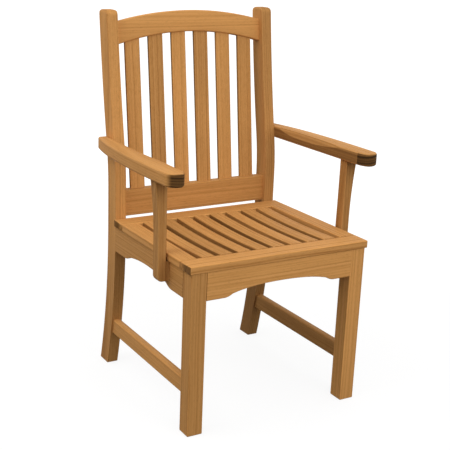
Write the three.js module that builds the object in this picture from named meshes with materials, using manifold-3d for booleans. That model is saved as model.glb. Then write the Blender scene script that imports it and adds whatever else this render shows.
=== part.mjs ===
// A garden armchair in solid teak. Two rear posts run from the floor to the top of the back and carry a
// bowed crest rail over six upright slats. Two front legs, four aprons and two side stretchers make the
// frame, the seat is a frame of four boards with eight dished slats let into it, and two fixed arms lie
// outside the posts on shaped supports. Millimetres, Z up, the sitter faces -Y.
import * as THREE from "three";
import { mergeVertices } from "three/addons/utils/BufferGeometryUtils.js";
import Module from "manifold-3d";

// Overall sizes
const frameWidth = 503; // over the outer faces of the legs and posts
const seatHeight = 440;
const totalHeight = 983;

// Fits
const fit = 0.3; // gap round a tenon or dowel, and at a shoulder that meets a curved face
const overrun = 4; // how far a joining or cutting block starts inside its own piece
const curveSteps = 14; // straight steps in each curve
const armEdgeSteps = 3; // and in the round of an arm's long edges

// Front legs
const legWidth = 42;
const legDepth = 42;
const legStubSize = 18;
const legStubHeight = 10;

// Rear posts: raked back to the floor, upright past the seat, then leaning back, less so near the top
const postWidth = 31;
const postDepth = 48;
const postSetback = 426; // from the front legs' front faces to the posts' upright front faces
const uprightBelowSeat = 40; // the upright stretch reaches this far below the seat's top
const uprightAboveSeat = 80; // and this far above it
const footRake = 50;
const bendRise = 109; // height over which the lean grows to its steepest
const steepestLean = 0.185; // run back per rise
const topLean = 0.105;
const postTopRound = 16; // from front to back
const postTopEase = 8; // across

// Seat boards and slats
const boardThickness = 19.5;
const boardWidth = 54; // front and rear boards
const sideBoardWidth = 46.5;
const sideOverhang = 5.5;
const frontOverhang = 3;
const seatSetOff = 1.5; // from the seat's rear edge to the posts' front faces
const slotWidth = 15;
const seatSlatCount = 8;
const seatDip = 4.6; // how far the slats sag below the boards at mid length
const tongueLength = 12;
const tongueThickness = 8;
const tongueWidth = 25;

// Aprons: a flat foot beside each leg, a short step up and a long shallow arch
const apronThickness = 20;
const apronHeight = 72;
const apronTenonLength = 20;
const apronTenonThickness = 8;
const apronTenonHeight = 50;
const rearApronTenonLength = 12;
const frontArch = { foot: 49, stepRun: 23, stepRise: 7.5, archRise: 14, archLead: 50 };
const sideArch = { foot: 58, stepRun: 29, stepRise: 9, archRise: 11, archLead: 46 };

// Side stretchers
const stretcherThickness = 20;
const stretcherHeight = 44;
const stretcherTop = 141.7;
const stretcherTenonLength = 18;
const stretcherTenonThickness = 9;
const stretcherTenonHeight = 26;

// Lower back rail
const railHeight = 71;
const railDepth = 26.5;
const railLift = 2; // clear of the seat
const railReveal = 10.5; // its front face lies this far behind the posts' front faces
const railTenonLength = 20;
const railTenonThickness = 12;
const railTenonHeight = 50;

// Crest rail: cut to a bow and leaning with the posts
const crestThickness = 24;
const crestHeight = 56.5;
const crestRise = 31; // the bow of its lower edge over the clear width between the posts
const crestTopRise = 27.5;
const crestReveal = 15; // its front face lies this far behind the posts' front faces
const crestDrop = 60.2; // from the posts' tops to the lower edge at mid width
const crestTenonLength = 20;
const crestTenonThickness = 12;
const crestTenonHeight = 34;

// Back slats
const backSlatCount = 6;
const backSlatWidth = 43;
const backSlatThickness = 9;
const backSlatInset = 15.9; // from the lower rail's front face to the slats' front faces
const backSlatHeadInset = 4.5; // from the crest's front face to the slats' front faces
const backSlatSocket = 15; // how far a slat is let into each rail

// Arms: outside the posts, widest at mid length, rounded in front
const armThickness = 33;
const armRise = 216; // from the seat's top to the arm's
const armFront = 26.5; // behind the front legs' front faces
const armRear = 484;
const armFrontWidth = 50;
const armRearWidth = 27;
const armSwell = 4; // how far the outer edge's curve is drawn out ahead of mid length
const armRearSwell = 7; // and behind it
const armInnerRound = 20; // the front's inner round, measured across the arm
const armInnerRoundLength = 36; // and along it
const armOuterRound = 28;
const armRearRound = 8;
const armEdgeRound = 5; // along the top and bottom edges
const swellAtShare = 0.29; // where along the outer edge the two draws act
const rearSwellAtShare = 0.72;

// Hollow cut along each arm's inner top edge
const hollowStart = 122;
const hollowEnd = 424;
const hollowFrontTaper = 148; // length over which it deepens from the front
const hollowRearTaper = 102; // and from the rear
const hollowCurveShare = 0.45; // how far along a taper its curve is drawn
const hollowWidth = 8;
const hollowDrop = 15.5;

// Arm supports: lapped on the side aprons and flared towards the arm
const supportFront = 111;
const supportDepth = 28.3;
const supportDrop = 51.5; // how far the foot hangs below the seat boards
const supportFootThickness = 31.5;
const supportClearance = 3.8; // from the ends of the seat boards
const supportTopThickness = 33;
const supportFlareRise = 28; // the flare starts this far above the seat
const supportFlarePull = 0.5; // how far out the flare's curve is drawn at its middle
const supportRound = 14; // outer corner of the foot
const supportHeelRound = 14; // rear corner of the foot
const supportTenonWidth = 18;
const supportTenonDepth = 15;
const supportTenonHeight = 17;

// Dowels and screws
const dowelRadius = 5;
const dowelLength = 30;
const dowelSides = 14;
const armDowelSpacing = 20;
const screwHeadRadius = 4;
const screwHeadHeight = 3;
const screwShankRadius = 2.2;
const screwLength = 37;
const screwSides = 10;
const screwSpacing = 26;

// Places that follow from the sizes above
const frameHalf = frameWidth / 2;
const seatHalf = frameHalf + sideOverhang;
const legInner = frameHalf - legWidth;
const postInner = frameHalf - postWidth;
const seatUnderside = seatHeight - boardThickness;
const uprightFrom = seatHeight - uprightBelowSeat;
const uprightTo = seatHeight + uprightAboveSeat;
const steepestHeight = uprightTo + bendRise;
const apronBottom = seatUnderside - apronHeight;
const apronInner = frameHalf - apronThickness;
const apronMiddle = frameHalf - apronThickness / 2;
const frontBoardRear = boardWidth - frontOverhang;
const rearBoardRear = postSetback - seatSetOff;
const rearBoardFront = rearBoardRear - boardWidth;
const sideBoardInner = seatHalf - sideBoardWidth;
const boardMiddle = seatHeight - boardThickness / 2;
const railBottom = seatHeight + railLift;
const railTop = railBottom + railHeight;
const railFront = postSetback + railReveal;
const crestUnderside = totalHeight - crestDrop;
const armTop = seatHeight + armRise;
const armUnderside = armTop - armThickness;
const supportBottom = seatUnderside - supportDrop;
const supportFlareFrom = seatHeight + supportFlareRise;
const topLength = totalHeight - steepestHeight;

// Distance of a post's front face behind the front legs' front faces, at a height above the floor
function postFrontAt(height) {
  if (height < uprightFrom) {
    return postSetback + footRake * (1 - height / uprightFrom) ** 2;
  }
  const bent = THREE.MathUtils.clamp(height - uprightTo, 0, bendRise);
  const above = Math.max(height - steepestHeight, 0);
  return (
    postSetback +
    (steepestLean * bent ** 2) / (2 * bendRise) +
    steepestLean * above -
    ((steepestLean - topLean) * above ** 2) / (2 * topLength)
  );
}

const wasm = await Module();
wasm.setup();

// A closed geometry as a solid that can be cut and joined
function solidFrom(geometry) {
  geometry.deleteAttribute("normal");
  geometry.deleteAttribute("uv");
  const merged = mergeVertices(geometry);
  return new wasm.Manifold(
    new wasm.Mesh({
      numProp: 3,
      vertProperties: merged.attributes.position.array,
      triVerts: new Uint32Array(merged.index.array),
    }),
  );
}

// The solid's triangles as a flat-shaded geometry
function geometryFrom(solid) {
  const mesh = solid.getMesh();
  const geometry = new THREE.BufferGeometry();
  geometry.setAttribute("position", new THREE.BufferAttribute(mesh.vertProperties, mesh.numProp));
  geometry.setIndex(new THREE.BufferAttribute(mesh.triVerts, 1));
  const flat = geometry.toNonIndexed();
  flat.computeVertexNormals();
  return flat;
}

function joined(solid, parts) {
  return parts.reduce((whole, part) => whole.add(part), solid);
}

function cut(solid, tools) {
  return tools.reduce((left, tool) => left.subtract(tool), solid);
}

// A rectangular block from its ranges along X, Y and Z
function block({ x, y, z }) {
  const geometry = new THREE.BoxGeometry(x[1] - x[0], y[1] - y[0], z[1] - z[0]);
  geometry.translate((x[0] + x[1]) / 2, (y[0] + y[1]) / 2, (z[0] + z[1]) / 2);
  return geometry;
}

// The ranges of a socket that takes a tenon with the fit all round
function socketFor({ x, y, z }) {
  const grown = ([low, high]) => [low - fit, high + fit];
  return { x: grown(x), y: grown(y), z: grown(z) };
}

// The same block on the other side of the chair
function otherSide({ x, y, z }) {
  return { x: [-x[1], -x[0]], y, z };
}

function bothSides(ranges) {
  return [ranges, otherSide(ranges)];
}

function tenons(ranges) {
  return ranges.map((range) => solidFrom(block(range)));
}

function sockets(ranges) {
  return ranges.map((range) => solidFrom(block(socketFor(range))));
}

// A range of a given length round a middle
function around(middle, length) {
  return [middle - length / 2, middle + length / 2];
}

function extruded(shape, depth) {
  return new THREE.ExtrudeGeometry(shape, { depth, bevelEnabled: false, curveSegments: curveSteps });
}

// A side view drawn in Y and Z, given its width along X
function fromSide(shape, [left, right]) {
  const geometry = extruded(shape, right - left);
  geometry.rotateX(Math.PI / 2);
  geometry.rotateZ(Math.PI / 2);
  geometry.translate(left, 0, 0);
  return geometry;
}

// A front view drawn in X and Z, given its depth along Y
function fromFront(shape, [front, rear]) {
  const geometry = extruded(shape, rear - front);
  geometry.rotateX(Math.PI / 2);
  geometry.translate(0, rear, 0);
  return geometry;
}

// A round bar along X
function barAlongX(radius, sides, [left, right], y, z) {
  const geometry = new THREE.CylinderGeometry(radius, radius, right - left, sides);
  geometry.rotateZ(Math.PI / 2);
  geometry.translate((left + right) / 2, y, z);
  return geometry;
}

// A round bar along Z
function barAlongZ(radius, sides, [bottom, top], x, y) {
  const geometry = new THREE.CylinderGeometry(radius, radius, top - bottom, sides);
  geometry.rotateX(Math.PI / 2);
  geometry.translate(x, y, (bottom + top) / 2);
  return geometry;
}

// Tenons of the right-hand side: each belongs to the rail it is named for
const apronTenonRows = around(apronBottom + apronHeight / 2, apronTenonHeight);
const frontApronTenon = {
  x: [legInner - overrun, legInner + apronTenonLength],
  y: around(apronThickness / 2, apronTenonThickness),
  z: apronTenonRows,
};
const sideApronFrontTenon = {
  x: around(apronMiddle, apronTenonThickness),
  y: [legDepth - apronTenonLength, legDepth + overrun],
  z: apronTenonRows,
};
const sideApronRearTenon = {
  x: around(apronMiddle, apronTenonThickness),
  y: [postSetback - overrun, postSetback + apronTenonLength],
  z: apronTenonRows,
};
const rearApronMiddle = postFrontAt(seatUnderside) + postDepth / 2;
const rearApronTenon = {
  x: [postInner - overrun, postInner + rearApronTenonLength],
  y: around(rearApronMiddle, apronTenonThickness),
  z: apronTenonRows,
};
const stretcherMiddle = frameHalf - postWidth / 2;
const stretcherBottom = stretcherTop - stretcherHeight;
const stretcherTenonRows = around(stretcherTop - stretcherHeight / 2, stretcherTenonHeight);
const stretcherFrontTenon = {
  x: around(stretcherMiddle, stretcherTenonThickness),
  y: [legDepth - stretcherTenonLength, legDepth + overrun],
  z: stretcherTenonRows,
};
const stretcherRear = postFrontAt(stretcherTop);
const stretcherRearTenon = {
  x: around(stretcherMiddle, stretcherTenonThickness),
  y: [stretcherRear - overrun, postFrontAt(stretcherBottom) + stretcherTenonLength],
  z: stretcherTenonRows,
};
const railTenon = {
  x: [postInner - overrun, postInner + railTenonLength],
  y: around(railFront + railDepth / 2, railTenonThickness),
  z: around(railBottom + railHeight / 2, railTenonHeight),
};
const legStub = {
  x: around(frameHalf - legWidth / 2, legStubSize),
  y: around(legDepth / 2, legStubSize),
  z: [seatUnderside - overrun, seatUnderside + legStubHeight],
};

const crestAngle = Math.atan2(
  postFrontAt(crestUnderside + crestHeight) - postFrontAt(crestUnderside),
  crestHeight,
);

// The crest is drawn flat, in X and Z with its front face at Y = 0 and its lower edge's middle at the
// origin, and then leaned back with the posts
function leaned(geometry) {
  geometry.rotateX(-crestAngle);
  geometry.translate(0, postFrontAt(crestUnderside) + crestReveal, crestUnderside);
  return geometry;
}

const crestTenon = {
  x: [postInner - overrun, postInner + crestTenonLength],
  y: around(crestThickness / 2, crestTenonThickness),
  z: around(crestHeight / 2 - crestRise, crestTenonHeight),
};

// Heights of the crest's lower edge above the floor, across the chair
function crestUndersideAt(x) {
  return crestUnderside - crestRise * (x / postInner) ** 2 * Math.cos(crestAngle);
}

// The back slats stand in the lower rail and end in the crest
const backSlatFootFront = railFront + backSlatInset;
const backSlatHeadFront = postFrontAt(crestUnderside) + crestReveal + backSlatHeadInset;
const backSlatAngle = Math.atan(
  (backSlatHeadFront - backSlatFootFront) / (crestUnderside - railTop),
);
const backSlatGap = (2 * postInner - backSlatCount * backSlatWidth) / (backSlatCount + 1);

function backSlatMiddle(index) {
  return -postInner + backSlatGap + backSlatWidth / 2 + index * (backSlatWidth + backSlatGap);
}

// A back slat, or with a margin the socket that takes it
function backSlatBlock(index, margin) {
  const middle = backSlatMiddle(index);
  const reach = (crestUndersideAt(middle) - railTop) / Math.cos(backSlatAngle);
  const geometry = block({
    x: around(middle, backSlatWidth + 2 * margin),
    y: [-margin, backSlatThickness + margin],
    z: [-backSlatSocket - margin, reach + backSlatSocket + margin],
  });
  geometry.rotateX(-backSlatAngle);
  geometry.translate(0, backSlatFootFront, railTop);
  return geometry;
}

const backSlatIndexes = [...Array(backSlatCount).keys()];

function backSlatSockets() {
  return backSlatIndexes.map((index) => solidFrom(backSlatBlock(index, fit)));
}

// Seat slats and the places of the tongues that hold them and the side boards
const seatSlatWidth = (2 * sideBoardInner - (seatSlatCount + 1) * slotWidth) / seatSlatCount;
const seatSlatIndexes = [...Array(seatSlatCount).keys()];

function seatSlatMiddle(index) {
  return -sideBoardInner + slotWidth + seatSlatWidth / 2 + index * (seatSlatWidth + slotWidth);
}

const sideBoardMiddle = (seatHalf + sideBoardInner) / 2;
const tongueMiddles = [-sideBoardMiddle, ...seatSlatIndexes.map(seatSlatMiddle), sideBoardMiddle];

function frontTongue(middle) {
  return {
    x: around(middle, tongueWidth),
    y: [frontBoardRear - tongueLength, frontBoardRear + overrun],
    z: around(boardMiddle, tongueThickness),
  };
}

function rearTongue(middle) {
  return {
    x: around(middle, tongueWidth),
    y: [rearBoardFront - overrun, rearBoardFront + tongueLength],
    z: around(boardMiddle, tongueThickness),
  };
}

// Upright dowels between the side aprons and the seat boards over them
const seatDowelRows = {
  rear: (rearBoardFront + rearBoardRear) / 2,
  side: (frontBoardRear + rearBoardFront) / 2,
};

function seatDowel(y, margin) {
  return barAlongZ(
    dowelRadius + margin,
    dowelSides,
    around(seatUnderside, dowelLength + 2 * margin),
    apronMiddle,
    y,
  );
}

// Level dowels between the posts and the arms
const armMiddleHeight = armTop - armThickness / 2;
const armDowelPlaces = around(postFrontAt(armMiddleHeight) + postDepth / 2, armDowelSpacing);

function armDowel(y, margin) {
  return barAlongX(
    dowelRadius + margin,
    dowelSides,
    around(frameHalf, dowelLength + 2 * margin),
    y,
    armMiddleHeight,
  );
}

// Countersunk screws through the side aprons into the arm supports
const supportMiddle = supportFront + supportDepth / 2;
const screwHeights = around((supportBottom + seatUnderside) / 2, screwSpacing);

function supportScrew(z, margin) {
  const head = new THREE.CylinderGeometry(
    screwShankRadius + margin,
    screwHeadRadius + margin,
    screwHeadHeight,
    screwSides,
  );
  head.rotateZ(-Math.PI / 2);
  head.translate(apronInner + screwHeadHeight / 2, supportMiddle, z);
  const shank = barAlongX(
    screwShankRadius + margin,
    screwSides,
    [apronInner + screwHeadHeight / 2, apronInner + screwLength + margin],
    supportMiddle,
    z,
  );
  return joined(solidFrom(head), [solidFrom(shank)]);
}

// The arched lower edge of an apron, drawn from its right end to its left end
function archedEdge(shape, middle, half, bottom, arch) {
  const { foot, stepRun, stepRise, archRise, archLead } = arch;
  const stepIn = half - foot;
  const archIn = stepIn - stepRun;
  const shoulder = bottom + stepRise;
  const crown = shoulder + archRise;
  shape.lineTo(middle + stepIn, bottom);
  shape.quadraticCurveTo(middle + stepIn - stepRun / 2, bottom, middle + archIn, shoulder);
  shape.quadraticCurveTo(middle + archIn - archLead, crown, middle, crown);
  shape.quadraticCurveTo(middle - archIn + archLead, crown, middle - archIn, shoulder);
  shape.quadraticCurveTo(middle - stepIn + stepRun / 2, bottom, middle - stepIn, bottom);
}

function frontLeg() {
  const leg = block({ x: [legInner, frameHalf], y: [0, legDepth], z: [0, seatUnderside] });
  const whole = joined(solidFrom(leg), tenons([legStub]));
  return cut(whole, sockets([frontApronTenon, sideApronFrontTenon, stretcherFrontTenon]));
}

// The post's outline from the side is met by its outline from the front, which rounds the top end
function rearPost() {
  const roundStart = totalHeight - postTopRound;
  const heights = [];
  for (const [from, to] of [[0, uprightFrom], [uprightTo, roundStart]]) {
    for (let i = 0; i <= curveSteps; i++) {
      heights.push(from + ((to - from) * i) / curveSteps);
    }
  }
  const side = new THREE.Shape();
  side.moveTo(postFrontAt(0), 0);
  for (const height of heights.slice(1)) {
    side.lineTo(postFrontAt(height), height);
  }
  const topFront = postFrontAt(totalHeight);
  const topRear = topFront + postDepth;
  side.quadraticCurveTo(topFront, totalHeight, topFront + postTopRound, totalHeight);
  side.lineTo(topRear - postTopRound, totalHeight);
  side.quadraticCurveTo(topRear, totalHeight, postFrontAt(roundStart) + postDepth, roundStart);
  for (const height of heights.slice(0, -1).reverse()) {
    side.lineTo(postFrontAt(height) + postDepth, height);
  }
  const front = new THREE.Shape();
  front.moveTo(postInner, 0);
  front.lineTo(frameHalf, 0);
  front.lineTo(frameHalf, totalHeight - postTopEase);
  front.quadraticCurveTo(frameHalf, totalHeight, frameHalf - postTopEase, totalHeight);
  front.lineTo(postInner + postTopEase, totalHeight);
  front.quadraticCurveTo(postInner, totalHeight, postInner, totalHeight - postTopEase);
  const bar = solidFrom(fromSide(side, [postInner - overrun, frameHalf + overrun]));
  const post = bar.intersect(solidFrom(fromFront(front, [0, topRear + overrun])));
  return cut(post, [
    ...sockets([sideApronRearTenon, rearApronTenon, stretcherRearTenon, railTenon]),
    solidFrom(leaned(block(socketFor(crestTenon)))),
    ...armDowelPlaces.map((y) => solidFrom(armDowel(y, fit))),
  ]);
}

function frontApron() {
  const shape = new THREE.Shape();
  shape.moveTo(-legInner, seatUnderside);
  shape.lineTo(legInner, seatUnderside);
  shape.lineTo(legInner, apronBottom);
  archedEdge(shape, 0, legInner, apronBottom, frontArch);
  shape.lineTo(-legInner, apronBottom);
  const board = solidFrom(fromFront(shape, [0, apronThickness]));
  return joined(board, tenons(bothSides(frontApronTenon)));
}

function rearApron() {
  const board = block({
    x: [-postInner, postInner],
    y: around(rearApronMiddle, apronThickness),
    z: [apronBottom, seatUnderside],
  });
  return joined(solidFrom(board), tenons(bothSides(rearApronTenon)));
}

function sideApron() {
  const middle = (legDepth + postSetback) / 2;
  const half = (postSetback - legDepth) / 2;
  const shape = new THREE.Shape();
  shape.moveTo(legDepth, seatUnderside);
  for (const height of [seatUnderside, uprightFrom, apronBottom]) {
    shape.lineTo(postFrontAt(height) - fit, height);
  }
  archedEdge(shape, middle, half, apronBottom, sideArch);
  shape.lineTo(legDepth, apronBottom);
  const board = solidFrom(fromSide(shape, [apronInner, frameHalf]));
  const whole = joined(board, tenons([sideApronFrontTenon, sideApronRearTenon]));
  return cut(whole, [
    ...Object.values(seatDowelRows).map((y) => solidFrom(seatDowel(y, fit))),
    ...screwHeights.map((z) => supportScrew(z, fit)),
  ]);
}

function sideStretcher() {
  const shape = new THREE.Shape();
  shape.moveTo(legDepth, stretcherBottom);
  shape.lineTo(legDepth, stretcherTop);
  shape.lineTo(stretcherRear - fit, stretcherTop);
  shape.lineTo(postFrontAt(stretcherBottom) - fit, stretcherBottom);
  const bar = solidFrom(fromSide(shape, around(stretcherMiddle, stretcherThickness)));
  return joined(bar, tenons([stretcherFrontTenon, stretcherRearTenon]));
}

function lowerBackRail() {
  const board = block({
    x: [-postInner, postInner],
    y: [railFront, railFront + railDepth],
    z: [railBottom, railTop],
  });
  const whole = joined(solidFrom(board), tenons(bothSides(railTenon)));
  return cut(whole, backSlatSockets());
}

function crestRail() {
  const shape = new THREE.Shape();
  shape.moveTo(-postInner, -crestRise);
  shape.quadraticCurveTo(0, crestRise, postInner, -crestRise);
  shape.lineTo(postInner, crestHeight - crestTopRise);
  shape.quadraticCurveTo(0, crestHeight + crestTopRise, -postInner, crestHeight - crestTopRise);
  const board = solidFrom(leaned(fromFront(shape, [0, crestThickness])));
  const ends = bothSides(crestTenon).map((range) => solidFrom(leaned(block(range))));
  return cut(joined(board, ends), backSlatSockets());
}

function frontSeatBoard() {
  const board = block({
    x: [-seatHalf, seatHalf],
    y: [-frontOverhang, frontBoardRear],
    z: [seatUnderside, seatHeight],
  });
  return cut(
    solidFrom(board),
    sockets([...bothSides(legStub), ...tongueMiddles.map(frontTongue)]),
  );
}

function rearSeatBoard() {
  const board = block({
    x: [-seatHalf, seatHalf],
    y: [rearBoardFront, rearBoardRear],
    z: [seatUnderside, seatHeight],
  });
  const dowelHole = seatDowel(seatDowelRows.rear, fit);
  const otherHole = dowelHole.clone();
  otherHole.translate(-2 * apronMiddle, 0, 0);
  return cut(solidFrom(board), [
    ...sockets(tongueMiddles.map(rearTongue)),
    solidFrom(dowelHole),
    solidFrom(otherHole),
  ]);
}

function sideSeatBoard() {
  const board = block({
    x: [sideBoardInner, seatHalf],
    y: [frontBoardRear, rearBoardFront],
    z: [seatUnderside, seatHeight],
  });
  const whole = joined(
    solidFrom(board),
    tenons([frontTongue(sideBoardMiddle), rearTongue(sideBoardMiddle)]),
  );
  return cut(whole, [solidFrom(seatDowel(seatDowelRows.side, fit))]);
}

function seatSlat(index) {
  const middle = seatSlatMiddle(index);
  const halfway = (frontBoardRear + rearBoardFront) / 2;
  const shape = new THREE.Shape();
  shape.moveTo(frontBoardRear, seatUnderside);
  shape.lineTo(frontBoardRear, seatHeight);
  shape.quadraticCurveTo(halfway, seatHeight - 2 * seatDip, rearBoardFront, seatHeight);
  shape.lineTo(rearBoardFront, seatUnderside);
  shape.quadraticCurveTo(halfway, seatUnderside - 2 * seatDip, frontBoardRear, seatUnderside);
  const slat = solidFrom(fromSide(shape, around(middle, seatSlatWidth)));
  return joined(slat, tenons([frontTongue(middle), rearTongue(middle)]));
}

function backSlat(index) {
  return solidFrom(backSlatBlock(index, 0));
}

const supportInner = seatHalf + supportClearance;
const supportTenon = {
  x: around(supportInner + supportTopThickness / 2, supportTenonWidth),
  y: around(supportMiddle, supportTenonDepth),
  z: [armUnderside - overrun, armUnderside + supportTenonHeight],
};

// From the front the support steps in under the seat board and flares towards the arm; from the side
// its foot is rounded at the back
function armSupport() {
  const supportRear = supportFront + supportDepth;
  const footOuter = frameHalf + supportFootThickness;
  const headOuter = supportInner + supportTopThickness;
  const front = new THREE.Shape();
  front.moveTo(frameHalf, supportBottom);
  front.lineTo(footOuter - supportRound, supportBottom);
  front.quadraticCurveTo(footOuter, supportBottom, footOuter, supportBottom + supportRound);
  front.lineTo(footOuter, supportFlareFrom);
  front.quadraticCurveTo(
    footOuter + supportFlarePull,
    (supportFlareFrom + armUnderside) / 2,
    headOuter,
    armUnderside,
  );
  front.lineTo(supportInner, armUnderside);
  front.lineTo(supportInner, seatUnderside - fit);
  front.lineTo(frameHalf, seatUnderside - fit);
  const side = new THREE.Shape();
  side.moveTo(supportFront, supportBottom);
  side.lineTo(supportFront, armUnderside);
  side.lineTo(supportRear, armUnderside);
  side.lineTo(supportRear, supportBottom + supportHeelRound);
  side.quadraticCurveTo(supportRear, supportBottom, supportRear - supportHeelRound, supportBottom);
  const whole = solidFrom(fromFront(front, [supportFront - overrun, supportRear + overrun]));
  const shaped = whole.intersect(
    solidFrom(fromSide(side, [frameHalf - overrun, headOuter + overrun])),
  );
  return cut(
    joined(shaped, tenons([supportTenon])),
    screwHeights.map((z) => supportScrew(z, fit)),
  );
}

// The hollow's cutter is drawn along the arm and down into the corner, and turned to face it
function armHollow() {
  const corner = Math.atan2(hollowDrop, hollowWidth);
  const depth = hollowWidth * Math.sin(corner);
  const shape = new THREE.Shape();
  shape.moveTo(hollowStart, 0);
  shape.quadraticCurveTo(
    hollowStart + hollowCurveShare * hollowFrontTaper,
    depth,
    hollowStart + hollowFrontTaper,
    depth,
  );
  shape.lineTo(hollowEnd - hollowRearTaper, depth);
  shape.quadraticCurveTo(hollowEnd - hollowCurveShare * hollowRearTaper, depth, hollowEnd, 0);
  shape.lineTo(hollowEnd, -depth);
  shape.lineTo(hollowStart, -depth);
  const reach = hollowWidth + hollowDrop;
  const geometry = extruded(shape, 2 * reach);
  geometry.translate(0, 0, -reach);
  const along = new THREE.Vector3(0, 1, 0);
  const into = new THREE.Vector3(Math.sin(corner), 0, -Math.cos(corner));
  const across = new THREE.Vector3().crossVectors(along, into);
  geometry.applyMatrix4(new THREE.Matrix4().makeBasis(along, into, across));
  geometry.translate(frameHalf, 0, armTop);
  return solidFrom(geometry);
}

function arm() {
  const outerStart = armFront + armOuterRound;
  const outerRun = armRear - armRearRound - outerStart;
  const frontOuter = frameHalf + armFrontWidth;
  const rearOuter = frameHalf + armRearWidth;
  const shape = new THREE.Shape();
  shape.moveTo(frameHalf, armRear);
  shape.lineTo(frameHalf, armFront + armInnerRoundLength);
  shape.absellipse(
    frameHalf + armInnerRound,
    armFront + armInnerRoundLength,
    armInnerRound,
    armInnerRoundLength,
    Math.PI,
    1.5 * Math.PI,
  );
  shape.absarc(frontOuter - armOuterRound, outerStart, armOuterRound, 1.5 * Math.PI, 2 * Math.PI);
  shape.bezierCurveTo(
    frontOuter + armSwell,
    outerStart + swellAtShare * outerRun,
    frontOuter + armRearSwell,
    outerStart + rearSwellAtShare * outerRun,
    rearOuter,
    armRear - armRearRound,
  );
  shape.quadraticCurveTo(rearOuter, armRear, rearOuter - armRearRound, armRear);
  const geometry = new THREE.ExtrudeGeometry(shape, {
    depth: armThickness - 2 * armEdgeRound,
    bevelThickness: armEdgeRound,
    bevelSize: armEdgeRound,
    bevelOffset: -armEdgeRound,
    bevelSegments: armEdgeSteps,
    curveSegments: curveSteps,
  });
  geometry.translate(0, 0, armUnderside + armEdgeRound);
  return cut(solidFrom(geometry), [
    armHollow(),
    ...sockets([supportTenon]),
    ...armDowelPlaces.map((y) => solidFrom(armDowel(y, fit))),
  ]);
}

const teak = { color: 0xc98b45, roughness: 0.6, metalness: 0 };
const teakEdge = { color: 0xa86f30, roughness: 0.65, metalness: 0 };
const beechDowel = { color: 0xd8b98a, roughness: 0.7, metalness: 0 };
const steel = { color: 0xb8bab8, roughness: 0.35, metalness: 1 };

const chair = new THREE.Group();

function place(name, solid, finish) {
  const mesh = new THREE.Mesh(geometryFrom(solid), new THREE.MeshStandardMaterial(finish));
  mesh.name = name;
  chair.add(mesh);
  return mesh;
}

// The same piece on both sides, the left one mirrored
function placePair(name, solid, finish) {
  place(`${name}_right`, solid, finish);
  place(`${name}_left`, solid, finish).scale.x = -1;
}

placePair("front_leg", frontLeg(), teak);
placePair("rear_post", rearPost(), teak);
place("front_apron", frontApron(), teak);
place("rear_apron", rearApron(), teak);
placePair("side_apron", sideApron(), teakEdge);
placePair("side_stretcher", sideStretcher(), teakEdge);
place("lower_back_rail", lowerBackRail(), teak);
place("crest_rail", crestRail(), teak);
for (const index of backSlatIndexes) {
  place(`back_slat_${index + 1}`, backSlat(index), teakEdge);
}
place("seat_board_front", frontSeatBoard(), teak);
place("seat_board_rear", rearSeatBoard(), teak);
placePair("seat_board_side", sideSeatBoard(), teak);
for (const index of seatSlatIndexes) {
  place(`seat_slat_${index + 1}`, seatSlat(index), teakEdge);
}
placePair("arm_support", armSupport(), teak);
placePair("arm", arm(), teak);
for (const [row, y] of Object.entries(seatDowelRows)) {
  placePair(`seat_dowel_${row}`, solidFrom(seatDowel(y, 0)), beechDowel);
}
armDowelPlaces.forEach((y, index) => {
  placePair(`arm_dowel_${index + 1}`, solidFrom(armDowel(y, 0)), beechDowel);
});
screwHeights.forEach((z, index) => {
  placePair(`support_screw_${index + 1}`, supportScrew(z, 0), steel);
});

// The chair stands centred over the origin
const box = new THREE.Box3().setFromObject(chair);
chair.position.y = -(box.min.y + box.max.y) / 2;

export default chair;
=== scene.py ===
import math

import bmesh
import bpy
from mathutils import Matrix, Vector
from mathutils.bvhtree import BVHTree


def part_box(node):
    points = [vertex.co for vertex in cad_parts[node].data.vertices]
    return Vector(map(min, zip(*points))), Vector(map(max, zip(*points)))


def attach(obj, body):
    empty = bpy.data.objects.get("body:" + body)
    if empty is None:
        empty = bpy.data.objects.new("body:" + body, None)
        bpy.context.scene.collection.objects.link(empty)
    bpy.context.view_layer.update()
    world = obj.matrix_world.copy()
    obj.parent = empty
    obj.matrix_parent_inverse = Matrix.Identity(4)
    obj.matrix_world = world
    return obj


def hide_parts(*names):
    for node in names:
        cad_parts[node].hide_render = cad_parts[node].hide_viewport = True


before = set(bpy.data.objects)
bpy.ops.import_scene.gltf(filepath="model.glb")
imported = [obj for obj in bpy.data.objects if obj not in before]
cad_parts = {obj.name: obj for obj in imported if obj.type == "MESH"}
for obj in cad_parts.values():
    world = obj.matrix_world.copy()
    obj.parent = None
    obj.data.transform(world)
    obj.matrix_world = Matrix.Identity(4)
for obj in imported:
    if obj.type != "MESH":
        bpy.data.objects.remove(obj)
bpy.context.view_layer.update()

# ---------------------------------------------------------------------------------------------
# The studio. The chair stands on a wide pale floor before a white backdrop, in plain light from
# all round, with one broad soft lamp in front of it and a smaller one high on its left. The
# camera looks from beyond the chair's left front corner, above arm height.

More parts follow.
